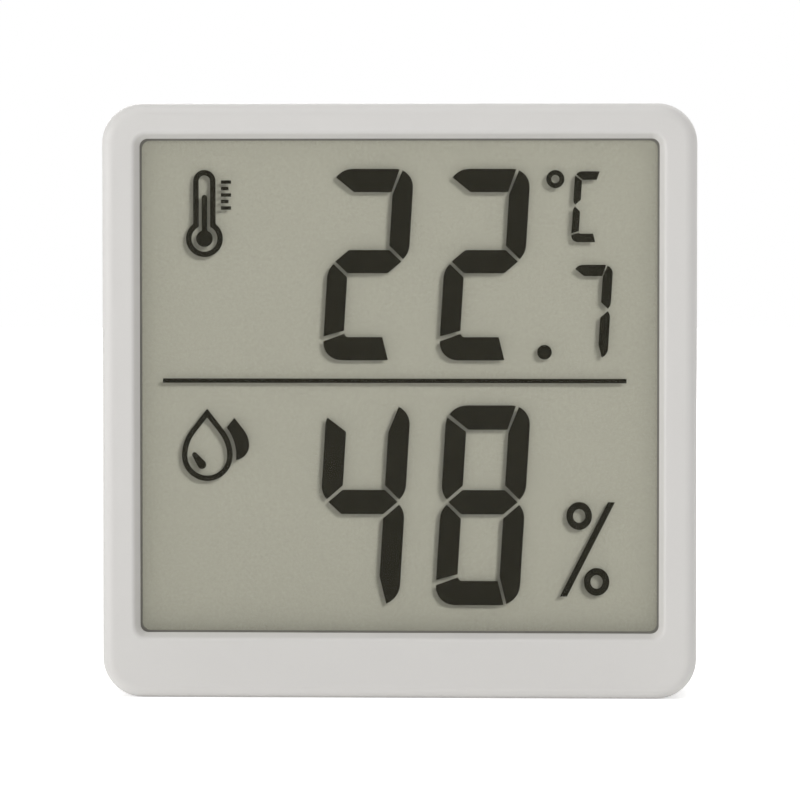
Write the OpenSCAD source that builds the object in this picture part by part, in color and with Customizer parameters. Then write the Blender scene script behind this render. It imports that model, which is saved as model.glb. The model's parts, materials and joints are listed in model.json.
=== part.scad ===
// Square temperature and humidity sensor with a reflective segment display, a coin cell,
// a twist-lock battery door, a pairing button and a fold-out stand.
// Millimetres. X runs across the front, Z is up, and the front faces -Y.
// The origin is under the middle of the case, on the surface that it stands on.

/* [Case] */
// Width of the case
body_w = 59.5; // [57:0.5:80]
// Height of the case
body_h = 59.5; // [58:0.5:80]
// Depth of the case, front face to back face
body_d = 14; // [13.4:0.1:20]
// Radius of the four corners, seen from the front
corner_r = 4; // [3.6:0.1:4.6]
// Radius of the rounded front and back edges
edge_r = 1.2; // [0.6:0.1:2.2]
// Thickness of the side walls
wall = 1.6; // [1.4:0.1:1.8]
// Thickness of the front frame around the display
face_t = 1.3; // [1.1:0.1:1.8]
// Thickness of the back wall
back_t = 1.8; // [1.6:0.1:2.2]
// Clearance between pieces that slip together
fit = 0.15; // [0.1:0.01:0.2]

/* [Seam] */
// Depth of the front half, front face to the middle of the seam
seam_depth = 8; // [7.6:0.1:8.6]
// Width of the groove between the two halves
seam_gap = 0.25; // [0.1:0.05:0.4]
// Thickness of the tongue on the rear cover
tongue_t = 0.9; // [0.7:0.1:1.1]
// How far the tongue reaches into the front half
tongue_reach = 2; // [1.8:0.1:2.2]
// Height of the collar that joins the tongue to the cover's wall
collar_h = 1.2; // [0.8:0.1:1.4]
// Length of one snap hook along the tongue
hook_w = 5; // [3:0.5:8]
// Distance between the two hooks on one side
hook_spread = 30; // [20:1:36]
// How far a hook stands out past the tongue
hook_out = 0.55; // [0.4:0.05:0.7]
// Height of a hook along the depth
hook_h = 0.9; // [0.6:0.1:1]

/* [Window opening] */
// Width of the frame at the left and right of the opening
side_bezel = 3.75; // [3.5:0.05:6]
// Width of the frame above the opening
top_bezel = 3.5; // [3.4:0.05:6]
// Height of the chin below the opening
chin_h = 6.5; // [6.2:0.1:9]
// Corner radius of the opening
opening_r = 0.8; // [0.3:0.1:2]
// Width of the sloping lip round the opening
lip_w = 0.55; // [0.4:0.05:1]
// Depth of the sloping lip
lip_depth = 1; // [0.5:0.05:1]
// Radius that blends the lip into the front face
lip_r = 0.5; // [0.3:0.1:1]

/* [Display stack] */
// Thickness of the foam gasket between frame and display
gasket_t = 0.3; // [0.2:0.05:0.5]
// How far the gasket shows inside the opening
gasket_show = 0.2; // [0.1:0.05:0.4]
// Thickness of the front polariser
polariser_t = 0.2; // [0.1:0.05:0.3]
// Distance from the glass's edge to the polariser's edge
polariser_in = 0.55; // [0.4:0.05:0.7]
// How far the polariser reaches below the opening
polariser_under = 0.4; // [0.2:0.05:0.5]
// Thickness of each glass plate
glass_t = 0.6; // [0.4:0.05:0.7]
// Gap between the glass plates, filled by the lit segments
cell_gap = 0.08; // [0.05:0.01:0.12]
// Width of the edge seal between the plates
seal_w = 0.5; // [0.3:0.05:0.6]
// How far the rear glass reaches below the opening
rear_glass_under = 0.9; // [0.6:0.05:1.2]
// Thickness of the reflector film
reflector_t = 0.2; // [0.1:0.05:0.3]
// Thickness of the holder's floor behind the display
floor_t = 1; // [0.9:0.05:1.2]
// Thickness of the holder's rim round the display
rim_t = 0.9; // [0.7:0.05:1]
// Clear strip of glass ledge above and below the elastomer contact strip
zebra_margin = 0.5; // [0.3:0.05:0.7]

/* [Display digits] */
// Height of the two large temperature digits
temp_digit_h = 19.2; // [12:0.1:20.4]
// Height of the tenths digit
tenths_h = 9.35; // [6:0.05:9.6]
// Height of the unit letter
letter_h = 7.1; // [5:0.05:7.8]
// Space between two large digits
digit_gap = 3.58; // [2:0.02:4.6]
// Distance from the opening's right side to the large digits
digits_in = 14; // [13.2:0.1:15]
// Distance from the opening's top to the temperature digits
temp_drop = 3; // [2:0.1:3.6]
// Height of the humidity digits above the opening's bottom
hum_rise = 2.7; // [1.5:0.1:3.4]
// Distance from the large digits to the tenths digit
tenths_gap = 4.9; // [4.4:0.1:5.4]
// Height of the tenths digit's foot above the foot of the large digits
tenths_rise = 0.25; // [0:0.05:0.6]
// Distance from the large digits to the unit letter
letter_gap = 5.15; // [4.8:0.05:5.6]
// How far the unit letter hangs below the top of the digits
letter_drop = 0.25; // [0:0.05:0.6]

/* [Display marks] */
// Radius of the decimal point
dot_r = 0.74; // [0.4:0.01:0.9]
// Distance from the large digits to the middle of the decimal point
dot_gap = 2.53; // [2.2:0.01:3]
// Height of the decimal point's foot above the foot of the large digits
dot_rise = 0.1; // [0:0.05:0.4]
// Outer radius of the degree ring
degree_r = 0.91; // [0.6:0.005:1]
// Hole radius of the degree ring
degree_hole_r = 0.4; // [0.2:0.05:0.5]
// Distance from the large digits to the middle of the degree ring
degree_gap = 3.6; // [3.2:0.1:3.8]
// Height of the percent sign
percent_h = 9.5; // [7:0.1:11]
// Distance from the large digits to the percent sign
percent_gap = 4.1; // [3.6:0.1:5]
// Height of the percent sign's foot above the foot of the digits
percent_rise = 0.9; // [0:0.1:2]
// Thickness of the divider rule
rule_t = 0.45; // [0.2:0.05:0.6]
// Distance from the temperature digits down to the middle of the rule
rule_gap = 2.05; // [1:0.05:3]
// Distance from the middle of the rule down to the humidity digits
hum_drop = 2.45; // [1:0.05:3]
// Distance from the opening's left side to the rule
rule_left = 2.2; // [1:0.1:4]
// Distance from the opening's right side to the rule
rule_right = 3.25; // [1:0.05:5]
// Distance from the opening's left side to the middle of the icons
icon_in = 6.4; // [5.6:0.1:7.4]
// Radius of the thermometer icon's bulb
bulb_r = 1.86; // [1.5:0.01:2.1]
// Height of the thermometer icon
thermometer_h = 8.75; // [7:0.05:10]
// Radius of the drop icon
drop_r = 2.56; // [1.8:0.01:2.8]
// Line width of the icons
icon_line = 0.56; // [0.4:0.01:0.6]

/* [Board] */
// Thickness of the main board
board_t = 1; // [0.8:0.1:1.2]
// Clearance between the tongue and the board's edge
board_edge = 0.25; // [0.15:0.05:0.5]
// Distance from the case's side and ends to the board screws
screw_inset = 5.2; // [5:0.1:6]
// Radius of a board screw's shank
screw_r = 0.8; // [0.6:0.05:1]
// Length of a board screw under its head
screw_len = 5; // [4:0.1:5.4]
// Radius of a board screw's head
screw_head_r = 1.5; // [1.2:0.1:1.8]
// Height of a board screw's head
screw_head_h = 0.7; // [0.5:0.05:0.8]
// Wall of the posts round the board screws
post_wall = 1.2; // [0.9:0.1:1.4]
// Side of the square driver chip
driver_side = 7; // [5:0.5:7]
// Side of the square climate sensor chip
sensor_side = 2.5; // [2:0.1:3]
// Width of the radio board
radio_w = 16; // [14:0.5:17]
// Height of the radio board
radio_h = 9.6; // [8.6:0.1:10]

/* [Coin cell] */
// Diameter of the coin cell
cell_d = 24.5; // [20:0.1:24.6]
// Thickness of the coin cell
cell_t = 5; // [3.2:0.1:5.1]
// Thickness of the sheet metal contacts
contact_t = 0.25; // [0.15:0.05:0.3]
// Clearance between cell and cradle
cell_play = 0.2; // [0.15:0.05:0.3]
// Wall of the cell cradle
cradle_wall = 1.1; // [0.9:0.1:1.2]

/* [Battery door] */
// Clearance between the cell and the hole it goes in by
door_play = 0.95; // [0.8:0.05:1.1]
// Width of the ledge that the door rests on
ledge_w = 1.75; // [1.5:0.05:1.9]
// Thickness of the ledge that the lugs hold
ledge_t = 0.6; // [0.5:0.05:0.7]
// Angle that one lug spans
lug_angle = 32; // [20:1:34]
// Angle that the door turns through to open
door_turn = 40; // [38:1:60]
// Length of the coin slot
slot_len = 12; // [8:0.5:16]
// Width of the coin slot
slot_w = 2; // [1.6:0.1:2.6]
// Depth of the coin slot
slot_depth = 1.2; // [0.8:0.1:1.4]

/* [Stand] */
// Distance from the case's side to the outer face of a stand arm
arm_inset = 7.25; // [7:0.05:7.5]
// Width of a stand arm
arm_w = 4; // [3:0.1:4.2]
// Thickness of the stand
leg_t = 2.2; // [1.8:0.1:2.2]
// Height of the foot bar's lower edge above the case's bottom
bar_rise = 3.2; // [3:0.1:3.6]
// Height of the stand's foot bar
bar_h = 5; // [4:0.1:5.2]
// Distance from the top of the case to the stand's hinge
hinge_drop = 14.5; // [13.5:0.1:16]
// Clearance round the stand in its recess
leg_play = 0.3; // [0.2:0.05:0.4]
// Radius of a hinge pin
pin_r = 0.8; // [0.6:0.05:0.9]
// Length of a hinge pin past the arm
pin_len = 1.7; // [1.2:0.1:1.8]
// Running clearance of a hinge pin
pin_play = 0.05; // [0.03:0.01:0.08]
// Thickness of the skin under the stand's recess
skin_t = 1; // [0.8:0.1:1.1]

/* [Button] */
// Radius of the pairing button
button_r = 2.4; // [1.8:0.1:2.8]
// Distance from the middle of the case to the button
button_x = 12.6; // [11:0.1:13]
// Distance from the top of the case to the button
button_drop = 8.5; // [8:0.1:9]
// Running clearance of the button in its hole
button_play = 0.08; // [0.04:0.01:0.1]
// Travel of the button
button_travel = 0.3; // [0.2:0.05:0.35]
// Side of the square switch body
switch_side = 6; // [4:0.5:6.4]
// Height of the switch body
switch_h = 3.4; // [2.5:0.1:3.6]

/* [Wall hook] */
// Radius of the keyhole's round entry
key_entry_r = 3.3; // [2.8:0.1:3.4]
// Radius of the keyhole's slot
key_slot_r = 1.75; // [1.4:0.05:1.9]
// Distance from the round entry up to the end of the slot
key_travel = 3.3; // [3:0.1:3.6]
// Distance from the top of the case to the end of the slot
key_drop = 7.2; // [7:0.1:7.6]
// Depth of the space behind the keyhole for a screw head
key_room = 2.6; // [2:0.1:2.8]

/* [Vents] */
// Number of vent slots in the left wall
vent_count = 5; // [3:1:6]
// Distance from one vent slot to the next
vent_pitch = 2.6; // [2:0.1:3]
// Width of a vent slot
vent_w = 1.2; // [0.8:0.1:1.4]
// Length of a vent slot along the depth
vent_len = 2; // [1.4:0.1:2.2]

/* [Hidden] */
$fn = 96;
// Amount by which a cut runs past the face that it opens
past = 1;
// Amount by which two shapes of one piece run into each other
sunk = 0.2;

// Colours as photographed, and usual ones for what is inside
case_grey = [0.82, 0.81, 0.80];
film_grey = [0.64, 0.64, 0.58];
segment_black = [0.18, 0.17, 0.14];
foam_black = [0.12, 0.12, 0.12];
glass_clear = [0.80, 0.84, 0.80, 0.15];
film_clear = [0.64, 0.64, 0.58, 0.15];
board_green = [0.10, 0.35, 0.20];
chip_black = [0.15, 0.15, 0.16];
tin_grey = [0.75, 0.75, 0.76];
holder_white = [0.92, 0.92, 0.90];

// Inside of the case and the display's pocket in its holder
half_w = body_w / 2;
inside_x = half_w - wall;
inside_z = [wall, body_h - wall];
inside_r = corner_r - wall;
board_in = fit + tongue_t + board_edge;
board_x = inside_x - board_in;
board_z = [inside_z[0] + board_in, inside_z[1] - board_in];
holder_x = inside_x - fit;
holder_z = [inside_z[0] + fit, inside_z[1] - fit];
pocket_x = holder_x - rim_t;
pocket_z = [holder_z[0] + rim_t, holder_z[1] - rim_t];
glass_x = pocket_x - fit;
glass_z = [pocket_z[0] + fit, pocket_z[1] - fit];
open_x = half_w - side_bezel;
open_z = [chin_h, body_h - top_bezel];
rear_glass_z = [open_z[0] - rear_glass_under, glass_z[1]];

// Depths from the front face, from one layer to the next
t_gasket = face_t + gasket_t;
t_polariser = t_gasket + polariser_t;
t_front_glass = t_polariser + glass_t;
t_segments = t_front_glass + cell_gap;
t_rear_glass = t_segments + glass_t;
t_reflector = t_rear_glass + reflector_t;
t_floor = t_reflector + floor_t;
t_board = t_floor + board_t;
t_cell = t_board + contact_t;
t_cell_end = t_cell + cell_t;
t_back = body_d - back_t;
t_seam_front = seam_depth - seam_gap / 2;
t_seam_back = seam_depth + seam_gap / 2;
t_tongue = seam_depth - tongue_reach;
t_collar = t_seam_back + collar_h;

// Slope of the lip round the opening
lip_slope = atan(lip_depth / lip_w);

// Snap hooks at the front end of the tongue
hook_lead = 0.1;
hook_flat = 0.3;
t_hook = [t_tongue + hook_lead, t_tongue + hook_lead + hook_h];

// Elastomer strip between the front glass ledge and the board
zebra_z = [glass_z[0] + zebra_margin, rear_glass_z[0] - zebra_margin];
screw_x = half_w - screw_inset;
screw_z = [screw_inset, body_h - screw_inset];
screw_play = 0.15;
thread_play = 0.02;
pilot_over = 0.3;
zebra_gap = 1;
zebra_x = screw_x - screw_head_r - screw_play - zebra_gap;
post_r = screw_r + post_wall;

// Stand
arm_out = half_w - arm_inset;
arm_in = arm_out - arm_w;
arm_end_r = leg_t / 2;
hinge_z = body_h - hinge_drop;
bar_z = [bar_rise, bar_rise + bar_h];
leg_flush = 0.15;
t_leg = [body_d - leg_flush - leg_t, body_d - leg_flush];
t_hinge = t_leg[0] + arm_end_r;
t_recess = t_leg[0] - leg_play / 2;
hinge_block = pin_len + skin_t;
leg_corner_r = 0.4 * bar_h;
leg_inner_r = 2 * leg_play;
scoop_r = 3;
scoop_depth = 1.1;
scoop_w = 10;
scoop_over = 0.7;

// Keyhole
key_z = body_h - key_drop;
key_entry_z = key_z - key_travel;
key_head_play = 0.25;
key_head_r = key_entry_r + key_head_play;
key_wall = 0.7;

// Coin cell, its cradle and the battery door, midway between keyhole and foot bar
door_z = (key_entry_z - key_head_r - key_wall + bar_z[1] + leg_play + skin_t) / 2;
cell_r = cell_d / 2;
cradle_in = cell_r + cell_play;
cradle_out = cradle_in + cradle_wall;
cradle_drop = 1;
cradle_top = t_cell_end - cradle_drop;
contact_w = 4;
leaf_len = 17;
tab_out = 1.6;
tab_drop = 0.3;
slot_play = 0.3;
peg_r = 0.4;
peg_play = 0.08;
peg_angle = 45;
can_t = 0.3;
can_drop = 0.25;
crimp_w = 0.95;
seal_play = 0.02;
crimp_play = 0.15;
cap_r = cell_r - can_t - crimp_w;
hole_r = cell_r + door_play;
door_r = hole_r + ledge_w;
neck_r = hole_r - fit;
neck_gap = 0.3;
t_ledge = t_back + ledge_t;
door_gap = 0.05;
door_flush = 0.1;
t_plate = t_ledge + door_gap;
t_door_face = body_d - door_flush;
rim_round = 0.4;
lug_count = 3;
lug_out = 1.1;
lug_r = hole_r + lug_out;
lug_t = 0.6;
lug_gap = 0.12;
lug_play = 2;
t_lug = [t_back - lug_gap - lug_t, t_back - lug_gap];
t_neck = t_cell_end + neck_gap;
skirt_h = 0.3;
skirt_in = cell_r + cell_play;
t_skirt = min(t_neck - skirt_h, t_lug[0]);
mark_r = 0.6;
mark_depth = 0.4;
mark_gap = 1.9;

// Button and switch
button_z = body_h - button_drop;
flange_out = 0.8;
flange_r = button_r + flange_out;
flange_t = 0.8;
flange_gap = 0.12;
button_flush = 0.2;
t_button_face = body_d - button_flush;
t_flange = t_back - flange_gap - flange_t;
t_switch = t_board + switch_h;
stem_r = 1.7;
stem_up = 0.8;
stem_in = 0.5;
stem_play = 0.1;
plunger_r = 1.5;

// Vents start behind the collar
vent_in = 0.2;

// Display rows
temp_top = open_z[1] - temp_drop;
temp_foot = temp_top - temp_digit_h;
rule_z = temp_foot - rule_gap;
hum_top = rule_z - hum_drop;
hum_foot = open_z[0] + hum_rise;
hum_digit_h = hum_top - hum_foot;
digits_right = open_x - digits_in;
icon_x = icon_in - open_x;

// Depth measured from the front face, turned into Y
function depth(t) = t - body_d / 2;

// Points along an arc of a circle
function arc(x, z, r, from, to, steps = 6) =
    [for (i = [0:steps]) let (a = from + (to - from) * i / steps) [x + r * cos(a), z + r * sin(a)]];

// Points round an ellipse
function oval(x, z, rx, rz, steps = 36) =
    [for (i = [0:steps - 1]) [x + rx * cos(360 * i / steps), z + rz * sin(360 * i / steps)]];

// Solid helpers

// A flat piece drawn in X and Z, from depth t0 to depth t1
module slab(t0, t1) {
    translate([0, depth(t1), 0])
        rotate([90, 0, 0])
            linear_extrude(t1 - t0)
                children();
}

// A block between two X, two Z and two depths
module block(x, z, t) {
    translate([x[0], depth(t[0]), z[0]])
        cube([x[1] - x[0], t[1] - t[0], z[1] - z[0]]);
}

// A block round a middle point in X and Z
module chip(x, z, w, h, t) {
    block([x - w / 2, x + w / 2], [z - h / 2, z + h / 2], t);
}

// A round bar along the depth
module rod(x, z, r, t) {
    translate([x, depth(t[1]), z])
        rotate([90, 0, 0])
            cylinder(r = r, h = t[1] - t[0]);
}

// A round bar across the case
module axle(x, z, r, t) {
    translate([x[0], depth(t), z])
        rotate([0, 90, 0])
            cylinder(r = r, h = x[1] - x[0]);
}

// A turned shape about an axis along the depth, drawn as radius and depth
module turned(x, z, angle = 360, start = 0) {
    translate([x, depth(0), z])
        rotate([-90, 0, 0])
            rotate([0, 0, start])
                rotate_extrude(angle = angle)
                    children();
}

// A long round-ended bar along the depth, standing on end in Z
module capsule(x, z, r, t) {
    block([x - r, x + r], z, t);
    turned(x, z[0], 180, 0)
        translate([0, t[0]]) square([r, t[1] - t[0]]);
    turned(x, z[1], 180, 180)
        translate([0, t[0]]) square([r, t[1] - t[0]]);
}

// Sweeps a profile round a rectangle with rounded corners. The profile is drawn as the
// distance outward from the corner centres, and the depth
module swept(x, z, r) {
    across = x[1] - x[0] - 2 * r;
    up = z[1] - z[0] - 2 * r;
    starts = [[x[1] - r, z[0] + r, up], [x[0] + r, z[0] + r, across],
        [x[0] + r, z[1] - r, up], [x[1] - r, z[1] - r, across]];
    for (k = [0:3])
        translate([starts[k][0], depth(0), starts[k][1]])
            rotate([0, 90 * k, 0]) {
                rotate([-90, 0, 0]) rotate_extrude(angle = 90) children();
                linear_extrude(starts[k][2]) children();
            }
}

// Half section of a disc whose back edge is rounded, drawn as radius and depth
module disc_section(r, t, round) {
    translate([0, t[0]]) square([r - round, t[1] - t[0]]);
    translate([0, t[0]]) square([r, t[1] - t[0] - round]);
    intersection() {
        translate([r - round, t[1] - round]) circle(round);
        translate([r - round, t[1] - round]) square(round);
    }
}

// A plate with rounded corners
module plate(x, z, r, t) {
    swept(x, z, r)
        translate([0, t[0]]) square([r, t[1] - t[0]]);
    block([x[0] + r, x[1] - r], [z[0] + r, z[1] - r], t);
}

// A ring of the given width inside a rectangle with rounded corners
module ring(x, z, r, w, t) {
    swept(x, z, r)
        translate([r - w, t[0]]) square([w, t[1] - t[0]]);
}

// Case halves

// Section of a filled case half: a rounded face at 0 and straight sides
module edge_section(length) {
    square([corner_r - edge_r, edge_r]);
    translate([0, edge_r]) square([corner_r, length - edge_r]);
    intersection() {
        translate([corner_r - edge_r, edge_r]) circle(edge_r);
        translate([corner_r - edge_r, 0]) square(edge_r);
    }
}

// Places a hook section at each snap hook, drawn as the distance outward and the depth
module at_hooks(length) {
    for (k = [0:3])
        for (side = [-1, 1])
            translate([0, depth(0), body_h / 2])
                rotate([0, 90 * k, 0])
                    translate([(k % 2 == 0 ? half_w : body_h / 2) - wall, 0, side * hook_spread / 2])
                        linear_extrude(length, center = true)
                            children();
}

module opening_cut() {
    blend_x = opening_r + lip_w + lip_r * tan(lip_slope / 2);
    swept([-open_x, open_x], open_z, opening_r)
        polygon(concat([[0, -past], [blend_x, -past]], arc(blend_x, lip_r, lip_r, -90, -90 - lip_slope),
            [[opening_r, lip_depth], [opening_r, face_t + past], [0, face_t + past]]));
    block([opening_r - open_x, open_x - opening_r], [open_z[0] + opening_r, open_z[1] - opening_r],
        [-past, face_t + past]);
}

module front_bezel() {
    color(case_grey)
        difference() {
            union() {
                swept([-half_w, half_w], [0, body_h], corner_r) edge_section(t_seam_front);
                block([corner_r - half_w, half_w - corner_r], [corner_r, body_h - corner_r],
                    [0, t_seam_front]);
            }
            plate([-inside_x, inside_x], inside_z, inside_r, [face_t, t_seam_front + past]);
            opening_cut();
            at_hooks(hook_w + 2 * fit)
                translate([-sunk, t_hook[0] - fit]) square([hook_out + sunk, hook_h + 2 * fit]);
        }
}

// Display, front to back

module window_gasket() {
    show_x = open_x - gasket_show;
    color(foam_black)
        difference() {
            block([-glass_x, glass_x], glass_z, [face_t, t_gasket]);
            plate([-show_x, show_x], [open_z[0] + gasket_show, open_z[1] - gasket_show], opening_r,
                [face_t - past, t_gasket + past]);
        }
}

module front_polariser() {
    film_x = glass_x - polariser_in;
    color(film_clear)
        block([-film_x, film_x], [open_z[0] - polariser_under, glass_z[1] - polariser_in],
            [t_gasket, t_polariser]);
}

module lcd_front_glass() {
    color(glass_clear)
        block([-glass_x, glass_x], glass_z, [t_polariser, t_front_glass]);
}

// Seven-segment digit in hundredths of its height, upright, from its lower left corner
share_w = 42.2;
share_side = 10.6;
share_bar = 12.2;
share_corner = 10;
share_mid = 51.6;
seg_lean = 0.06;
share_tip = 3.75;
share_joint = 8.4;
share_inner = 8.25;
seg_turn = 45.6;

function segment(name) =
    let (w = share_w, s = share_side, b = share_bar, r = share_corner, m = share_mid)
    name == "a" ? concat(arc(r, 100 - r, r, 147, 90), arc(w - r, 100 - r, r, 89, 76, 2),
        [[w - s - 0.5, 100 - b], [s + 0.9, 100 - b]]) :
    name == "b" ? concat(arc(w - r, 100 - r, r, 67, 0), arc(w - r, m + share_joint, r, 0, -seg_turn),
        [[w - s, m + share_inner], [w - s, 100 - b - 1.4]]) :
    name == "c" ? concat(arc(w - r, m - share_joint, r, seg_turn, 0), arc(w - r, r, r, 0, -69),
        [[w - s, b + 2.2], [w - s, m - share_inner]]) :
    name == "d" ? concat(arc(w - r, r, r, -77, -89, 2), arc(r, r, r, -90, -180),
        [[s, b + 1.7], [s + 1.6, b], [w - s - 0.8, b]]) :
    name == "e" ? concat([[0, b + 0.3]], arc(r, m - share_joint, r, 180, 180 - seg_turn),
        [[s, m - share_inner], [s, b + 3.3]]) :
    name == "f" ? concat(arc(r, m + share_joint, r, 180 + seg_turn, 180), arc(r, 100 - r, r, 180, 157),
        [[s, 100 - b - 1.1], [s, m + share_inner]]) :
    [[share_tip, m], [s, m + b / 2], [w - s, m + b / 2], [w - share_tip, m], [w - s, m - b / 2],
        [s, m - b / 2]];

// Segments lit for each figure, and for the letter of the unit
function lit(figure) =
    figure == "2" ? ["a", "b", "d", "e", "g"] :
    figure == "4" ? ["b", "c", "f", "g"] :
    figure == "7" ? ["a", "b", "c"] :
    figure == "C" ? ["a", "d", "e", "f"] :
    ["a", "b", "c", "d", "e", "f", "g"];

function digit_w(h) = share_w * h / 100;

// One leaning digit, from the lower left corner of its upright box
module digit(figure, x, z, h) {
    for (name = lit(figure))
        slab(t_front_glass, t_segments)
            polygon([for (p = segment(name)) [x + (p[0] + seg_lean * p[1]) * h / 100, z + p[1] * h / 100]]);
}

// Two large digits that end at the same distance from the opening's right side
module digit_pair(first, second, z, h) {
    digit(first, digits_right - 2 * digit_w(h) - digit_gap, z, h);
    digit(second, digits_right - digit_w(h), z, h);
}

module lcd_temperature_digits() {
    color(segment_black) {
        digit_pair("2", "2", temp_foot, temp_digit_h);
        digit("7", digits_right + tenths_gap, temp_foot + tenths_rise, tenths_h);
        rod(digits_right + dot_gap, temp_foot + dot_rise + dot_r, dot_r, [t_front_glass, t_segments]);
    }
}

module lcd_humidity_digits() {
    color(segment_black)
        digit_pair("4", "8", hum_foot, hum_digit_h);
}

// Percent sign in tenths of its height, from the foot of its slash
percent_slash = [[0, 0], [0.75, 0], [5.81, 10], [5.06, 10]];
percent_rings = [[2.03, 8.54], [3.88, 1.57]];
percent_outer = [1.36, 1.48];
percent_inner = [0.64, 0.72];
degree_drop = 0.12;

module lcd_unit_marks() {
    p = percent_h / 10;
    px = digits_right + percent_gap;
    pz = hum_foot + percent_rise;
    degree_x = digits_right + degree_gap;
    degree_z = temp_top - degree_r - degree_drop;
    color(segment_black) {
        digit("C", digits_right + letter_gap, temp_top - letter_drop - letter_h, letter_h);
        difference() {
            rod(degree_x, degree_z, degree_r, [t_front_glass, t_segments]);
            rod(degree_x, degree_z, degree_hole_r, [t_front_glass - past, t_segments + past]);
        }
        slab(t_front_glass, t_segments)
            polygon([for (q = percent_slash) [px + q[0] * p, pz + q[1] * p]]);
        for (q = percent_rings)
            slab(t_front_glass, t_segments)
                difference() {
                    polygon(oval(px + q[0] * p, pz + q[1] * p, percent_outer[0] * p, percent_outer[1] * p));
                    polygon(oval(px + q[0] * p, pz + q[1] * p, percent_inner[0] * p, percent_inner[1] * p));
                }
    }
}

// Drop with a round foot, curved sides and a pointed top, grown outward by an amount
drop_turn = 38;
drop_side = 1.66;

function drop(x, z, r, grow = 0) =
    let (side = drop_side * r + grow, back = side - r - grow)
    concat(arc(x, z, r + grow, 180, 360, 20),
        arc(x - back, z, side, drop_turn / 6, drop_turn, 6),
        [[x, z + (side * cos(drop_turn) - back) / tan(drop_turn) + side * sin(drop_turn)]],
        arc(x + back, z, side, 180 - drop_turn, 180 - drop_turn / 6, 6));

// Thermometer outline: a bulb with a round-topped tube
module thermometer(x, z, r, tube, top) {
    circle_z = top - tube / 2;
    translate([x, z]) circle(r);
    translate([x - tube / 2, z]) square([tube, circle_z - z]);
    translate([x, circle_z]) circle(tube / 2);
}

// A rounded bar that tapers from one circle to another
function taper(p, pr, q, qr) =
    let (run = norm(q - p), a = atan2(q[1] - p[1], q[0] - p[0]), lean = acos((pr - qr) / run))
    concat(arc(q[0], q[1], qr, a - lean, a + lean, 10), arc(p[0], p[1], pr, a + lean, a + 360 - lean, 10));

// Thermometer icon: the tube stands on the bulb, with a column and a scale of ticks
thermometer_drop = 0.1;
thermometer_top = temp_top - thermometer_drop;
bulb_z = thermometer_top - thermometer_h + bulb_r;
tube_w = 2.26;
column_r = 0.84;
column_w = 0.56;
column_drop = 2.5;
tick_count = 5;
tick_pitch = 0.65;
tick_t = 0.36;
tick_long = 1.03;
tick_short = 0.77;
tick_drop = 1.4;
tick_gap = 0.53;

// Drop icon with a shine, and a smaller drop behind it
drop_shift = 0.25;
drop_fall = 5.1;
drop_x = icon_x + drop_shift;
drop_z = hum_top - drop_fall;
second_out = 0.17;
second_up = 1.05;
second_x = drop_x + drop_r + second_out;
second_z = drop_z + second_up;
second_r = 1.5;
second_gap = 0.36;
shine_in = 0.73;
shine_run = [0.73, -1];
shine_rise = 0.1;
shine_top = [drop_x - drop_r + icon_line + shine_in, drop_z + shine_rise];
shine_foot = shine_top + shine_run;
shine_top_r = 0.26;
shine_foot_r = 0.45;

module lcd_icons() {
    color(segment_black) {
        slab(t_front_glass, t_segments)
            difference() {
                thermometer(icon_x, bulb_z, bulb_r, tube_w, thermometer_top);
                thermometer(icon_x, bulb_z, bulb_r - icon_line, tube_w - 2 * icon_line,
                    thermometer_top - icon_line);
            }
        slab(t_front_glass, t_segments)
            thermometer(icon_x, bulb_z, column_r, column_w, thermometer_top - column_drop);
        for (i = [0:tick_count - 1])
            slab(t_front_glass, t_segments)
                translate([icon_x + tube_w / 2 + tick_gap, thermometer_top - tick_drop - i * tick_pitch])
                    square([i % 2 == 0 ? tick_long : tick_short, tick_t]);
        slab(t_front_glass, t_segments)
            difference() {
                polygon(drop(drop_x, drop_z, drop_r));
                polygon(drop(drop_x, drop_z, drop_r, -icon_line));
            }
        slab(t_front_glass, t_segments)
            polygon(taper(shine_top, shine_top_r, shine_foot, shine_foot_r));
        slab(t_front_glass, t_segments)
            difference() {
                polygon(drop(second_x, second_z, second_r));
                polygon(drop(drop_x, drop_z, drop_r, second_gap));
            }
        block([rule_left - open_x, open_x - rule_right], [rule_z - rule_t / 2, rule_z + rule_t / 2],
            [t_front_glass, t_segments]);
    }
}

module lcd_edge_seal() {
    inner_x = glass_x - seal_w;
    color("dimgray")
        difference() {
            block([-glass_x, glass_x], rear_glass_z, [t_front_glass, t_segments]);
            block([-inner_x, inner_x], [rear_glass_z[0] + seal_w, rear_glass_z[1] - seal_w],
                [t_front_glass - past, t_segments + past]);
        }
}

module lcd_rear_glass() {
    color(glass_clear)
        block([-glass_x, glass_x], rear_glass_z, [t_segments, t_rear_glass]);
}

module reflector_film() {
    color(film_grey)
        block([-glass_x, glass_x], rear_glass_z, [t_rear_glass, t_reflector]);
}

module lcd_holder() {
    color(holder_white)
        difference() {
            plate([-holder_x, holder_x], holder_z, inside_r - fit, [face_t, t_floor]);
            block([-pocket_x, pocket_x], pocket_z, [face_t - past, t_reflector]);
            block([-zebra_x - fit, zebra_x + fit], [zebra_z[0] - fit, zebra_z[1] + fit],
                [t_reflector - past, t_floor + past]);
            for (x = [-screw_x, screw_x], z = screw_z)
                rod(x, z, screw_head_r + screw_play, [t_reflector - past, t_floor + past]);
        }
}

module zebra_strip() {
    color("slategray")
        block([-zebra_x, zebra_x], zebra_z, [t_front_glass, t_floor]);
}

// Electronics

lead_foot = 0.9;
driver_gap = 0.8;
driver_x = screw_x - post_r - driver_gap - lead_foot - driver_side / 2;
driver_z = board_z[0] + driver_gap + lead_foot + driver_side / 2;
driver_t = 1.2;
sensor_in = 2;
sensor_x = sensor_side / 2 + sensor_in - board_x;
sensor_z = door_z;
sensor_t = 0.9;
// Slot milled beside the sensor, so that the board's warmth doesn't reach it
moat_w = 0.8;
moat_gap = 0.6;
moat_over = 1;

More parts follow.
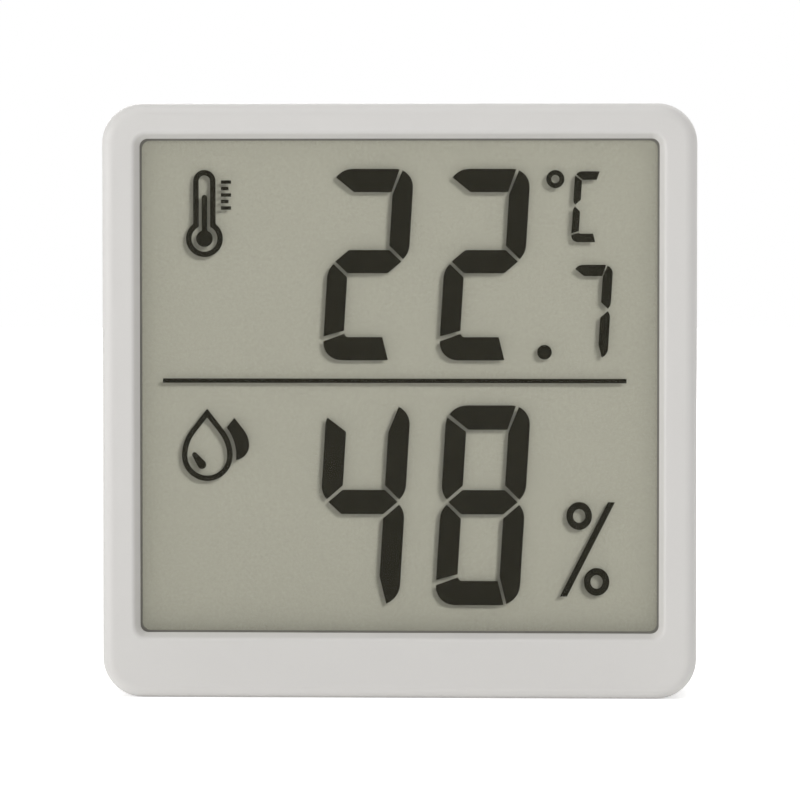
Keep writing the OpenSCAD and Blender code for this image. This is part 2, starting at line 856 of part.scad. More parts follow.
module main_board() {
    color(board_green)
        difference() {
            plate([-board_x, board_x], board_z, inside_r - board_in, [t_floor, t_board]);
            for (x = [-screw_x, screw_x], z = screw_z)
                rod(x, z, screw_r + screw_play, [t_floor - past, t_board + past]);
            for (k = [0:3])
                rod(cradle_mid_x(k), cradle_mid_z(k), peg_r + peg_play, [t_floor - past, t_board + past]);
            chip(sensor_x + sensor_side / 2 + moat_gap + moat_w / 2, sensor_z, moat_w,
                sensor_side + 2 * moat_over, [t_floor - past, t_board + past]);
        }
}

module board_screws() {
    recess_w = 0.4;
    recess_len = 1.8;
    recess_depth = screw_head_h / 2;
    color(tin_grey)
        for (x = [-screw_x, screw_x], z = screw_z)
            difference() {
                union() {
                    rod(x, z, screw_head_r, [t_floor - screw_head_h, t_floor]);
                    rod(x, z, screw_r, [t_floor - sunk, t_floor + screw_len]);
                }
                chip(x, z, recess_len, recess_w,
                    [t_floor - screw_head_h - past, t_floor - screw_head_h + recess_depth]);
                chip(x, z, recess_w, recess_len,
                    [t_floor - screw_head_h - past, t_floor - screw_head_h + recess_depth]);
            }
}

lead_lift = 0.1;
lead_count = 12;
lead_w = 0.22;

module lcd_driver_chip() {
    color(chip_black)
        chip(driver_x, driver_z, driver_side, driver_side,
            [t_board + lead_lift, t_board + lead_lift + driver_t]);
}

module driver_chip_leads() {
    side_margin = 0.5;
    pitch = (driver_side - 2 * side_margin) / (lead_count - 1);
    sheet = 0.15;
    rise = 0.6;
    color(tin_grey)
        for (k = [0:3], i = [0:lead_count - 1])
            translate([driver_x, depth(t_board), driver_z])
                rotate([0, 90 * k, 0])
                    translate([driver_side / 2, 0, (i - (lead_count - 1) / 2) * pitch - lead_w / 2])
                        linear_extrude(lead_w)
                            polygon([[0, rise], [0, rise - sheet], [sheet, rise - sheet], [sheet, 0],
                                [lead_foot, 0], [lead_foot, sheet], [2 * sheet, sheet],
                                [2 * sheet, rise]]);
}

crystal_out = 9;
crystal_size = [3.2, 1.6, 0.8];

module crystal() {
    color(tin_grey)
        chip(driver_x - driver_side / 2 - crystal_out, driver_z, crystal_size[0], crystal_size[1],
            [t_board, t_board + crystal_size[2]]);
}

// Radio board below the screw post, with its antenna at the main board's edge
radio_gap = 0.8;
radio_left = radio_gap - board_x;
radio_top = screw_z[1] - post_r - radio_gap;
radio_x = [radio_left, radio_left + radio_w];
radio_z = [radio_top - radio_h, radio_top];
radio_t = 0.8;
t_radio = t_board + radio_t;
antenna_w = 6;
can_w = radio_w - antenna_w;
can_margin = 0.8;
shield_h = 1.7;
shield_t = 0.2;
radio_chip_size = [5, 5, 0.9];

module radio_board() {
    color("darkgreen")
        block(radio_x, radio_z, [t_board, t_radio]);
}

module antenna_trace() {
    turns = 4;
    trace_w = 0.5;
    trace_t = 0.05;
    left = radio_x[0] + can_margin;
    run = radio_h - 2 * can_margin;
    pitch = 1.1;
    color("goldenrod")
        union() {
            for (i = [0:turns - 1])
                block([left + i * pitch, left + i * pitch + trace_w],
                    [radio_z[0] + can_margin, radio_z[0] + can_margin + run], [t_radio, t_radio + trace_t]);
            for (i = [0:turns - 2])
                block([left + i * pitch, left + (i + 1) * pitch + trace_w],
                    i % 2 == 0 ? [radio_z[1] - can_margin - trace_w, radio_z[1] - can_margin]
                        : [radio_z[0] + can_margin, radio_z[0] + can_margin + trace_w],
                    [t_radio, t_radio + trace_t]);
        }
}

can_x = [radio_x[1] - can_margin - can_w, radio_x[1] - can_margin];
can_z = [radio_z[0] + can_margin, radio_z[1] - can_margin];

module radio_chip() {
    color(chip_black)
        chip((can_x[0] + can_x[1]) / 2, (can_z[0] + can_z[1]) / 2, radio_chip_size[0], radio_chip_size[1],
            [t_radio, t_radio + radio_chip_size[2]]);
}

module radio_shield_can() {
    color(tin_grey)
        difference() {
            block(can_x, can_z, [t_radio, t_radio + shield_h]);
            block([can_x[0] + shield_t, can_x[1] - shield_t], [can_z[0] + shield_t, can_z[1] - shield_t],
                [t_radio - past, t_radio + shield_h - shield_t]);
        }
}

module climate_sensor() {
    port_r = 0.6;
    color(chip_black)
        difference() {
            chip(sensor_x, sensor_z, sensor_side, sensor_side, [t_board, t_board + sensor_t]);
            rod(sensor_x, sensor_z, port_r, [t_board + sensor_t / 2, t_board + sensor_t + past]);
        }
}

// Two columns of chip parts beside the driver chip
passive_size = [1.6, 0.8];
passive_pitch = 1.2;
passive_count = 6;
capacitor_out = 3.5;
capacitor_t = 0.8;
resistor_out = 6;
resistor_t = 0.5;

module passive_column(out, t) {
    for (i = [0:passive_count - 1])
        chip(driver_x - driver_side / 2 - out, driver_z + (i - (passive_count - 1) / 2) * passive_pitch,
            passive_size[0], passive_size[1], [t_board, t_board + t]);
}

module chip_capacitors() {
    color("peru")
        passive_column(capacitor_out, capacitor_t);
}

module chip_resistors() {
    color(chip_black)
        passive_column(resistor_out, resistor_t);
}

module switch_body() {
    color(chip_black)
        difference() {
            chip(button_x, button_z, switch_side, switch_side, [t_board, t_switch]);
            rod(button_x, button_z, stem_r + stem_play,
                [t_switch - stem_in - 2 * button_travel, t_switch + past]);
        }
}

module switch_stem() {
    color("ivory")
        rod(button_x, button_z, stem_r, [t_switch - stem_in, t_switch + stem_up]);
}

// Coin cell and its contacts

cradle_mid = (cradle_in + cradle_out) / 2;
function cradle_mid_x(k) = cradle_mid * cos(peg_angle + 90 * k);
function cradle_mid_z(k) = door_z + cradle_mid * sin(peg_angle + 90 * k);

module cell_cradle() {
    color(holder_white)
        difference() {
            union() {
                turned(0, door_z)
                    translate([cradle_in, t_board]) square([cradle_wall, cradle_top - t_board]);
                for (k = [0:3])
                    rod(cradle_mid_x(k), cradle_mid_z(k), peg_r, [t_floor, t_board + sunk]);
            }
            chip(cradle_mid, door_z, 2 * cradle_wall, contact_w + 2 * slot_play,
                [t_board - past, cradle_top + past]);
        }
}

module negative_contact() {
    color("gold")
        chip(0, door_z, leaf_len, contact_w, [t_board, t_cell]);
}

module positive_contact() {
    near = cell_r + seal_play;
    color("gold")
        union() {
            block([near, near + contact_t], [door_z - contact_w / 2, door_z + contact_w / 2],
                [t_board, cradle_top - tab_drop]);
            block([near, cradle_out + tab_out], [door_z - contact_w / 2, door_z + contact_w / 2],
                [t_board, t_board + contact_t]);
        }
}

module coin_cell_cap() {
    skirt = 0.4;
    color(tin_grey)
        turned(0, door_z)
            polygon([[0, t_cell], [cap_r, t_cell], [cap_r, t_cell_end - can_t - skirt],
                [cap_r - can_t, t_cell_end - can_t - skirt], [cap_r - can_t, t_cell + can_t],
                [0, t_cell + can_t]]);
}

module coin_cell_core() {
    core_r = cap_r - can_t - seal_play;
    color("darkslategray")
        turned(0, door_z)
            translate([0, t_cell + can_t]) square([core_r, cell_t - 2 * can_t]);
}

module coin_cell_gasket() {
    inner = cap_r + seal_play;
    outer = cell_r - can_t - seal_play;
    color("whitesmoke")
        turned(0, door_z)
            translate([inner, t_cell + can_drop + can_t])
                square([outer - inner, cell_t - can_drop - 2 * can_t]);
}

module coin_cell_can() {
    crimp_in = cap_r + crimp_play;
    rim = t_cell + can_drop;
    color("silver")
        turned(0, door_z)
            polygon([[0, t_cell_end], [cell_r, t_cell_end], [cell_r, rim], [crimp_in, rim],
                [crimp_in, rim + can_t], [cell_r - can_t, rim + can_t],
                [cell_r - can_t, t_cell_end - can_t], [0, t_cell_end - can_t]]);
}

// Rear cover and what moves on it

// The stand's outline in its recess, with a clearance all round
module stand_space(grow, t) {
    for (side = [-1, 1])
        block(side < 0 ? [-arm_out - grow, grow - arm_in] : [arm_in - grow, arm_out + grow],
            [bar_z[0] + leg_corner_r, hinge_z + arm_end_r + grow], t);
    plate([-arm_out - grow, arm_out + grow], [bar_z[0] - grow, bar_z[1] + grow], leg_corner_r + grow, t);
}

// A block for each hinge pin's socket
module hinge_blocks() {
    reach = arm_end_r + leg_play + skin_t;
    outer = arm_out + leg_play + hinge_block;
    for (side = [-1, 1])
        block(side < 0 ? [-outer, -arm_out] : [arm_out, outer], [hinge_z - reach, hinge_z + reach],
            [t_recess - skin_t, t_back + sunk]);
}

module hinge_sockets() {
    outer = arm_out + leg_play + pin_len;
    for (side = [-1, 1])
        axle(side < 0 ? [-outer, -arm_out] : [arm_out, outer], hinge_z, pin_r + pin_play, t_hinge);
}

// Lug shapes of the battery door, or the notches that let them in
module lugs(start, spread, inner, outer, t) {
    for (k = [0:lug_count - 1])
        turned(0, door_z, lug_angle + 2 * spread, start - spread + 360 * k / lug_count)
            translate([inner, t[0]]) square([outer - inner, t[1] - t[0]]);
}

// Small round marks that show where the door is locked and open
module door_marks(angles, r) {
    for (a = angles)
        rod(r * sin(a), door_z + r * cos(a), mark_r, [body_d - mark_depth, body_d + past]);
}

module rear_cover_solid() {
    tongue_r = inside_r - fit;
    difference() {
        union() {
            swept([-half_w, half_w], [0, body_h], corner_r)
                translate([0, body_d]) mirror([0, 1]) edge_section(body_d - t_seam_back);
            block([corner_r - half_w, half_w - corner_r], [corner_r, body_h - corner_r],
                [t_seam_back, body_d]);
        }
        plate([-inside_x, inside_x], inside_z, inside_r, [t_seam_back - past, t_back]);
    }
    ring([fit - inside_x, inside_x - fit], [inside_z[0] + fit, inside_z[1] - fit], tongue_r, tongue_t,
        [t_tongue, t_collar]);
    ring([-inside_x - sunk, inside_x + sunk], [inside_z[0] - sunk, inside_z[1] + sunk], inside_r + sunk,
        tongue_t + fit + sunk, [t_seam_back, t_collar]);
    at_hooks(hook_w)
        polygon([[-fit - sunk, t_hook[0]], [hook_out - fit, t_hook[1] - hook_flat],
            [hook_out - fit, t_hook[1]], [-fit - sunk, t_hook[1]]]);
    stand_space(leg_play + skin_t, [t_recess - skin_t, t_back + sunk]);
    hinge_blocks();
    for (x = [-screw_x, screw_x], z = screw_z)
        rod(x, z, post_r, [t_board, t_back + sunk]);
    capsule(0, [key_entry_z, key_z], key_head_r + key_wall, [t_back - key_room - key_wall, t_back + sunk]);
}

module rear_cover() {
    through = [t_back - past, body_d + past];
    vent_t = [t_collar + vent_in, t_collar + vent_in + vent_len];
    color(case_grey)
        difference() {
            rear_cover_solid();
            stand_space(leg_play, [t_recess, body_d + past]);
            hinge_sockets();
            axle([-scoop_w / 2, scoop_w / 2], bar_z[1] + scoop_over, scoop_r,
                body_d + scoop_r - scoop_depth);
            rod(0, door_z, hole_r, through);
            rod(0, door_z, door_r + fit, [t_ledge, body_d + past]);
            lugs(door_turn, lug_play, hole_r - past, lug_r + fit, [t_back - past, t_ledge + sunk]);
            door_marks([0, door_turn], door_r + mark_gap);
            rod(button_x, button_z, button_r + button_play, through);
            rod(0, key_entry_z, key_entry_r, through);
            capsule(0, [key_entry_z, key_z], key_slot_r, through);
            capsule(0, [key_entry_z, key_z], key_head_r, [t_back - key_room, t_back]);
            for (x = [-screw_x, screw_x], z = screw_z)
                rod(x, z, screw_r + thread_play, [t_board - past, t_floor + screw_len + pilot_over]);
            for (i = [0:vent_count - 1])
                chip(-half_w, sensor_z + (i - (vent_count - 1) / 2) * vent_pitch, 4 * wall, vent_w, vent_t);
        }
}

module battery_door() {
    color(case_grey)
        difference() {
            union() {
                turned(0, door_z) {
                    polygon([[0, t_neck], [skirt_in, t_neck], [skirt_in, t_skirt], [neck_r, t_skirt],
                        [neck_r, t_plate + sunk], [0, t_plate + sunk]]);
                    disc_section(door_r, [t_plate, t_door_face], rim_round);
                }
                lugs(0, 0, neck_r - sunk, lug_r, t_lug);
            }
            chip(0, door_z, slot_len, slot_w, [t_door_face - slot_depth, t_door_face + past]);
            door_marks([0], door_r - mark_gap);
        }
}

module pairing_button() {
    dish = 0.25;
    button_rim = 0.7;
    color(case_grey)
        turned(button_x, button_z)
            difference() {
                union() {
                    translate([0, t_switch + stem_up]) square([plunger_r, t_flange - t_switch]);
                    translate([0, t_flange]) square([flange_r, flange_t]);
                    disc_section(button_r, [t_flange, t_button_face], rim_round);
                }
                polygon([[0, t_button_face - dish], [button_r - button_rim, t_button_face],
                    [0, t_button_face + past]]);
            }
}

module stand_leg() {
    color(case_grey)
        union() {
            slab(t_leg[0], t_leg[1])
                polygon(concat([[arm_in, hinge_z], [arm_out, hinge_z]],
                    arc(arm_out - leg_corner_r, bar_z[0] + leg_corner_r, leg_corner_r, 0, -90),
                    arc(leg_corner_r - arm_out, bar_z[0] + leg_corner_r, leg_corner_r, -90, -180),
                    [[-arm_out, hinge_z], [-arm_in, hinge_z]],
                    arc(leg_inner_r - arm_in, bar_z[1] + leg_inner_r, leg_inner_r, 180, 270),
                    arc(arm_in - leg_inner_r, bar_z[1] + leg_inner_r, leg_inner_r, 270, 360)));
            for (side = [-1, 1]) {
                translate([side < 0 ? -arm_out : arm_in, depth(t_hinge), hinge_z])
                    rotate([0, 90, 0])
                        linear_extrude(arm_w)
                            intersection() {
                                circle(arm_end_r);
                                translate([-arm_end_r, -arm_end_r]) square([arm_end_r, 2 * arm_end_r]);
                            }
                axle(side < 0 ? [-arm_out - pin_len, sunk - arm_out] : [arm_out - sunk, arm_out + pin_len],
                    hinge_z, pin_r, t_hinge);
            }
        }
}

front_bezel();
window_gasket();
front_polariser();
lcd_front_glass();
lcd_temperature_digits();
lcd_humidity_digits();
lcd_unit_marks();
lcd_icons();
lcd_edge_seal();
lcd_rear_glass();
reflector_film();
lcd_holder();
zebra_strip();
main_board();
board_screws();
lcd_driver_chip();
driver_chip_leads();
crystal();
radio_board();
antenna_trace();
radio_chip();
radio_shield_can();
climate_sensor();
chip_capacitors();
chip_resistors();
switch_body();
switch_stem();
cell_cradle();
negative_contact();
positive_contact();
coin_cell_cap();
coin_cell_core();
coin_cell_gasket();
coin_cell_can();
rear_cover();
battery_door();
pairing_button();
stand_leg();
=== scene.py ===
# Square temperature and humidity sensor: a pale grey snap-together case with a reflective
# segment display in front, a coin cell inside, and a door, a button and a stand at the back.
import json
import math

import bmesh
import bpy
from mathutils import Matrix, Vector


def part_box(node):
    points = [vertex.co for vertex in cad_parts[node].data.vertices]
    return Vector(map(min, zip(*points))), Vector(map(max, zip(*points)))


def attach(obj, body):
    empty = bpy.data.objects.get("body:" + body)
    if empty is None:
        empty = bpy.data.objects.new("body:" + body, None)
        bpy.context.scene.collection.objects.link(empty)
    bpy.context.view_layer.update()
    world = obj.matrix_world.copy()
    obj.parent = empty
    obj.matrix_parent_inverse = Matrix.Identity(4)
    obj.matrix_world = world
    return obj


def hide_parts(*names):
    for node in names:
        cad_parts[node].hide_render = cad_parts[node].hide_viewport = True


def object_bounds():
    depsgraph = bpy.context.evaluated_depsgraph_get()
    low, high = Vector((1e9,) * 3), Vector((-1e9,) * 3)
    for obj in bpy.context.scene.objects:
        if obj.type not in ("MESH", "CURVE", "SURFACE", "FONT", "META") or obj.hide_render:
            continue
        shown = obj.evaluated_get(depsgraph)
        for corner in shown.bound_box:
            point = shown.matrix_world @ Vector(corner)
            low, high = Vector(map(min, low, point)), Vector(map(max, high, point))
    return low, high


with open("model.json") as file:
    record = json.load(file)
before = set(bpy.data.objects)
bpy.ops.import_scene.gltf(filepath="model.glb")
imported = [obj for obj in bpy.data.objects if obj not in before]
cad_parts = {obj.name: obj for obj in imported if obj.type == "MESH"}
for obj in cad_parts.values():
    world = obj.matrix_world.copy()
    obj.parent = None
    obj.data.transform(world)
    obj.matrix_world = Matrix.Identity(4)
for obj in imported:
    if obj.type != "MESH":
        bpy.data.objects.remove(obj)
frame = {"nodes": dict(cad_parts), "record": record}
cad_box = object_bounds()
nodes = frame["nodes"]
scene = bpy.context.scene
scene.view_settings.view_transform = "Standard"


# Camera. It stands almost square on to the display, a little above and to the right of its
# middle, at the distance that the photograph's slight perspective gives.
case_lo, case_hi = cad_box
case_middle = (Vector(case_lo) + Vector(case_hi)) / 2
view_azimuth = math.radians(2.2)
view_elevation = math.radians(2.2)
view_distance = 0.48
view_lens = 213.2
view_sensor = 36
view_near = 0.01
aim_shift = Vector((-0.00013, 0, -0.0001))

toward_camera = Vector((
    math.sin(view_azimuth) * math.cos(view_elevation),
    -math.cos(view_azimuth) * math.cos(view_elevation),
    math.sin(view_elevation),
))
camera_data = bpy.data.cameras.new("camera")
camera_data.lens = view_lens
camera_data.sensor_width = view_sensor
camera_data.clip_start = view_near
camera = bpy.data.objects.new("camera", camera_data)
camera.location = case_middle + aim_shift + toward_camera * view_distance
camera.rotation_euler = (-toward_camera).to_track_quat("-Z", "Y").to_euler()
scene.collection.objects.link(camera)
scene.camera = camera


# Studio. The object stands on a white light table in a white room that lights it evenly from all
# round. Softboxes on the left, on the right, above, behind and under the table's front model its
# rounded edges, and two more light the display alone.
room_level = 0.30
room_seen = 1
floor_radius = 1.6
floor_sides = 96
floor_albedo = 0.92
floor_glow_near = 0.50
floor_glow_far = 1.0
glow_near = 0.12
glow_far = 0.45
layers_seen_through = 24

scene.cycles.transparent_max_bounces = layers_seen_through


def add_node(tree, kind, **values):
    """A shader node with its inputs set or linked by name."""
    node = tree.nodes.new(kind)
    for label, value in values.items():
        socket = node.inputs[label.replace("_", " ")]
        if isinstance(value, bpy.types.NodeSocket):
            tree.links.new(value, socket)
        else:
            socket.default_value = value
    return node


def maths(tree, operation, first, second=0):
    """The result socket of a Math node on two values or sockets."""
    node = tree.nodes.new("ShaderNodeMath")
    node.operation = operation
    for place, value in enumerate((first, second)):
        if isinstance(value, bpy.types.NodeSocket):
            tree.links.new(value, node.inputs[place])
        else:
            node.inputs[place].default_value = value
    return node.outputs[0]


def vector_maths(tree, operation, first, second=(0, 0, 0)):
    """The result sockets of a Vector Math node on a socket and a vector."""
    node = tree.nodes.new("ShaderNodeVectorMath")
    node.operation = operation
    node.inputs[1].default_value = second
    tree.links.new(first, node.inputs[0])
    return node.outputs


def object_place(tree):
    """The socket of a point's place on its object."""
    return tree.nodes.new("ShaderNodeTexCoord").outputs["Object"]


def lit_for_sight(tree):
    """1 for rays that see the backdrop directly, in a gloss or through glass, and 0 for its light."""
    path = tree.nodes.new("ShaderNodeLightPath").outputs
    seen_or_mirrored = maths(tree, "MAXIMUM", path["Is Camera Ray"], path["Is Glossy Ray"])
    return maths(tree, "MAXIMUM", seen_or_mirrored, path["Is Transmission Ray"])


room = bpy.data.worlds.new("room")
room.use_nodes = True
scene.world = room
room_tree = room.node_tree
room_light = room_tree.nodes["Background"]
room_light.inputs["Color"].default_value = (1, 1, 1, 1)
room_by_ray = add_node(room_tree, "ShaderNodeMapRange", Value=lit_for_sight(room_tree), To_Min=room_level,
                       To_Max=room_seen)
room_tree.links.new(room_by_ray.outputs["Result"], room_light.inputs["Strength"])

floor_mesh = bmesh.new()
bmesh.ops.create_circle(floor_mesh, cap_ends=True, segments=floor_sides, radius=floor_radius)
floor_data = bpy.data.meshes.new("floor")
floor_mesh.to_mesh(floor_data)
floor_mesh.free()
floor = bpy.data.objects.new("floor", floor_data)
scene.collection.objects.link(floor)

floor_finish = bpy.data.materials.new("white_floor")
floor_finish.use_nodes = True
floor_tree = floor_finish.node_tree
floor_tree.nodes.remove(floor_tree.nodes["Principled BSDF"])
floor_white = (floor_albedo, floor_albedo, floor_albedo, 1)
floor_matt = add_node(floor_tree, "ShaderNodeBsdfDiffuse", Color=floor_white)
floor_reach = vector_maths(floor_tree, "LENGTH", object_place(floor_tree))["Value"]
floor_glow = add_node(floor_tree, "ShaderNodeMapRange", Value=floor_reach, From_Min=glow_near,
                      From_Max=glow_far, To_Min=floor_glow_near, To_Max=floor_glow_far)
floor_glow.interpolation_type = "SMOOTHSTEP"
floor_strength = maths(floor_tree, "MULTIPLY", lit_for_sight(floor_tree), floor_glow.outputs["Result"])
floor_shine = add_node(floor_tree, "ShaderNodeEmission", Strength=floor_strength)
floor_sum = floor_tree.nodes.new("ShaderNodeAddShader")
floor_tree.links.new(floor_matt.outputs[0], floor_sum.inputs[0])
floor_tree.links.new(floor_shine.outputs[0], floor_sum.inputs[1])
floor_tree.links.new(floor_sum.outputs[0], floor_tree.nodes["Material Output"].inputs["Surface"])
floor_data.materials.append(floor_finish)


def softbox(name, direction, distance, side, level):
    """A square lamp that lights a face turned to it at the given level, where 1 renders white as white."""
    lamp_data = bpy.data.lights.new(name, "AREA")
    lamp_data.shape = "SQUARE"
    lamp_data.size = side
    lamp_data.energy = level * math.pi ** 2 * distance ** 2
    lamp = bpy.data.objects.new(name, lamp_data)
    toward_lamp = Vector(direction).normalized()
    lamp.location = case_middle + toward_lamp * distance
    lamp.rotation_euler = (-toward_lamp).to_track_quat("-Z", "Y").to_euler()
    lamp.visible_camera = False
    scene.collection.objects.link(lamp)
    return lamp


table_softbox = softbox("table_softbox", (0.03, -0.72, -0.69), distance=0.9, side=0.45, level=0.15)
left_softbox = softbox("left_softbox", (-0.87, -0.49, 0.06), distance=0.9, side=0.45, level=0.59)
right_softbox = softbox("right_softbox", (0.92, -0.30, 0.05), distance=0.9, side=0.30, level=0.08)
top_softbox = softbox("top_softbox", (0, -0.36, 0.93), distance=0.9, side=0.60, level=0.40)
softbox("rear_softbox", (0.45, 0.45, 0.77), distance=0.9, side=0.60, level=0.26)
softbox("back_softbox", (-0.25, 0.90, 0.36), distance=0.9, side=0.45, level=0.40)
front_softbox = softbox("front_softbox", (0.03, -1.00, 0.02), distance=1.2, side=0.10, level=0.09)
display_softbox = softbox("display_softbox", (0.50, -0.75, 0.43), distance=2.0, side=0.55, level=0.63)


def flag(name, state, pieces):
    """A collection of pieces that a lamp's light or its shadows include or exclude."""
    flagged = bpy.data.collections.new(name)
    for place, piece in enumerate(pieces):
        flagged.objects.link(piece)
        flagged.collection_objects[place].light_linking.link_state = state
    return flagged


# The frame is lit from the left and the figures from the upper right, as the photograph shows, so
# each of those lamps is flagged off from the other's pieces. The display's own lamps pass its frame,
# which throws no shadow on it, and the lamp under the table shines through it. The lamp by the camera
# would glare in the display, so no gloss shows it.
display_names = ("front_polariser", "lcd_front_glass", "lcd_rear_glass", "lcd_temperature_digits",
                 "lcd_humidity_digits", "lcd_unit_marks", "lcd_icons", "reflector_film")
display_pieces = [nodes[name] for name in display_names]
all_but_display = flag("all_but_display", "EXCLUDE", display_pieces)
display_alone = flag("display_alone", "INCLUDE", display_pieces)
past_the_frame = flag("past_the_frame", "EXCLUDE", [nodes["front_bezel"], nodes["window_gasket"]])
for lamp in (table_softbox, left_softbox, right_softbox, top_softbox):
    lamp.light_linking.receiver_collection = all_but_display
for lamp in (front_softbox, display_softbox):
    lamp.light_linking.receiver_collection = display_alone
    lamp.light_linking.blocker_collection = past_the_frame
table_softbox.light_linking.blocker_collection = flag("through_the_table", "EXCLUDE", [floor])
front_softbox.visible_glossy = False


# Front half of the case: one shell of injection-moulded plastic with a fine spark-eroded
# grain, open at the back, whose rounded frame holds the display from the front.
def tone(red, green, blue):
    """A colour as it is seen, from 0 to 255 each, in linear light."""
    seen = [part / 255 for part in (red, green, blue)]
    linear = [part / 12.92 if part <= 0.04045 else ((part + 0.055) / 1.055) ** 2.4 for part in seen]
    return (*linear, 1)


grain_inputs = {
    "Tone": "NodeSocketColor",
    "Mottle": "NodeSocketFloat",
    "Grain Scale": "NodeSocketFloat",
    "Cloud Scale": "NodeSocketFloat",
    "Roughness": "NodeSocketFloat",
    "Roughness Spread": "NodeSocketFloat",
}
grain_outputs = {"Color": "NodeSocketColor", "Roughness": "NodeSocketFloat", "Height": "NodeSocketFloat"}
noise_middle = 0.5

grain = bpy.data.node_groups.new("surface_grain", "ShaderNodeTree")
for label, kind in grain_inputs.items():
    grain.interface.new_socket(label, in_out="INPUT", socket_type=kind)
for label, kind in grain_outputs.items():
    grain.interface.new_socket(label, in_out="OUTPUT", socket_type=kind)
grain_in = grain.nodes.new("NodeGroupInput").outputs
grain_out = grain.nodes.new("NodeGroupOutput").inputs
grain_place = object_place(grain)
pits = add_node(grain, "ShaderNodeTexNoise", Vector=grain_place, Scale=grain_in["Grain Scale"],
                Detail=3).outputs[0]
clouds = add_node(grain, "ShaderNodeTexNoise", Vector=grain_place, Scale=grain_in["Cloud Scale"],
                  Detail=2).outputs[0]
pits_off = maths(grain, "SUBTRACT", pits, noise_middle)
clouds_off = maths(grain, "SUBTRACT", clouds, noise_middle)
mottle_off = maths(grain, "MULTIPLY", maths(grain, "ADD", pits_off, clouds_off), grain_in["Mottle"])
mottled = grain.nodes.new("ShaderNodeMix")
mottled.data_type = "RGBA"
mottled.blend_type = "MULTIPLY"
mottled.inputs["Factor"].default_value = 1
grain.links.new(grain_in["Tone"], mottled.inputs["A"])
grain.links.new(maths(grain, "ADD", mottle_off, 1), mottled.inputs["B"])
rough_off = maths(grain, "MULTIPLY", clouds_off, grain_in["Roughness Spread"])
grain.links.new(mottled.outputs["Result"], grain_out["Color"])
grain.links.new(maths(grain, "ADD", rough_off, grain_in["Roughness"]), grain_out["Roughness"])
grain.links.new(pits, grain_out["Height"])


def grained(name, colour, mottle, pit_size, roughness, relief, cloud_size=0.006, **plain):
    """A material with the shared grain, sizes and relief in metres, and plain values for other sockets."""
    finish = bpy.data.materials.new(name)
    finish.use_nodes = True
    tree = finish.node_tree
    shader = tree.nodes["Principled BSDF"]
    skin = tree.nodes.new("ShaderNodeGroup")
    skin.node_tree = grain
    skin.inputs["Tone"].default_value = colour
    skin.inputs["Mottle"].default_value = mottle
    skin.inputs["Grain Scale"].default_value = 1 / pit_size
    skin.inputs["Cloud Scale"].default_value = 1 / cloud_size
    skin.inputs["Roughness"].default_value = roughness
    skin.inputs["Roughness Spread"].default_value = roughness / 2
    bump = add_node(tree, "ShaderNodeBump", Height=skin.outputs["Height"], Strength=1.0, Distance=relief)
    tree.links.new(skin.outputs["Color"], shader.inputs["Base Color"])
    tree.links.new(skin.outputs["Roughness"], shader.inputs["Roughness"])
    tree.links.new(bump.outputs[0], shader.inputs["Normal"])
    for label, value in plain.items():
        shader.inputs[label.replace("_", " ")].default_value = value
    return finish


def dress(finish, *names):
    """Gives CAD nodes a material."""
    for name in names:
        nodes[name].data.materials.clear()
        nodes[name].data.materials.append(finish)


case_plastic = grained("case_plastic", tone(209, 207, 204), mottle=0.03, pit_size=0.00012, roughness=0.52,
                       relief=0.000004)
dress(case_plastic, "front_bezel")


# Foam gasket: a frame die-cut from dark closed-cell foam, pressed between the case and the
# display, which shows as a thin dark line round the window.
gasket_foam = grained("gasket_foam", tone(112, 110, 103), mottle=0.3, pit_size=0.00008, roughness=0.85,
                      relief=0.00001)
dress(gasket_foam, "window_gasket")


# Front polariser: a clear grey film with an anti-glare coat, rolled on to the front glass
# a little inside its edge.
def part_layers(gap, *names):
    """Thins layers that touch by a hair all round, so that no two of them share a face."""
    for name in names:
        joined = nodes[name].modifiers.new("joined", "WELD")
        joined.merge_threshold = weld_reach
        thinned = nodes[name].modifiers.new("thinned", "DISPLACE")
        thinned.strength = -gap
        thinned.mid_level = 0


weld_reach = 0.000001
layer_gap = 0.00001
film = grained("polariser_film", tone(60, 60, 52), mottle=0.04, pit_size=0.00010, roughness=0.40,
               relief=0.000002, Alpha=0.05)
dress(film, "front_polariser")
part_layers(layer_gap, "front_polariser")


# Display glass: two ground plates of thin soda-lime glass that hold the liquid crystal between
# them. The front one is longer, so that its ledge meets the contact strip.
glass = grained("display_glass", tone(84, 92, 84), mottle=0.02, pit_size=0.002, roughness=0.06,
                relief=0.0000005, Alpha=0.02, IOR=1.52)
dress(glass, "lcd_front_glass", "lcd_rear_glass")
part_layers(layer_gap, "lcd_front_glass", "lcd_rear_glass")


# Lit segments: the figures, unit marks and icons, dark where the etched electrodes turn the
# liquid crystal. They stand in front of the reflector, so their shadows lie beside them.
segment = grained("dark_segment", tone(35, 32, 23), mottle=0.25, pit_size=0.00020, roughness=0.60,
                  relief=0.000001, Specular_IOR_Level=0)
segment_names = ("lcd_temperature_digits", "lcd_humidity_digits", "lcd_unit_marks", "lcd_icons")
dress(segment, *segment_names)
part_layers(layer_gap, *segment_names)


# Edge seal: a bead of grey epoxy, printed round the rear plate and cured under pressure, which
# closes the gap between the plates.
seal = grained("edge_seal", tone(120, 119, 114), mottle=0.10, pit_size=0.00015, roughness=0.50,
               relief=0.000002)
dress(seal, "lcd_edge_seal")


# Reflector: a rear polariser with a pearl coat, stuck behind the rear glass. It gives the display
# its warm greenish grey ground, with the fine sparkle of the coat.
pearl = grained("pearl_reflector", tone(183, 181, 165), mottle=0.25, pit_size=0.00018, roughness=0.55,
                relief=0.000002, cloud_size=0.00030, Specular_IOR_Level=0.1)
dress(pearl, "reflector_film")
part_layers(layer_gap, "reflector_film")


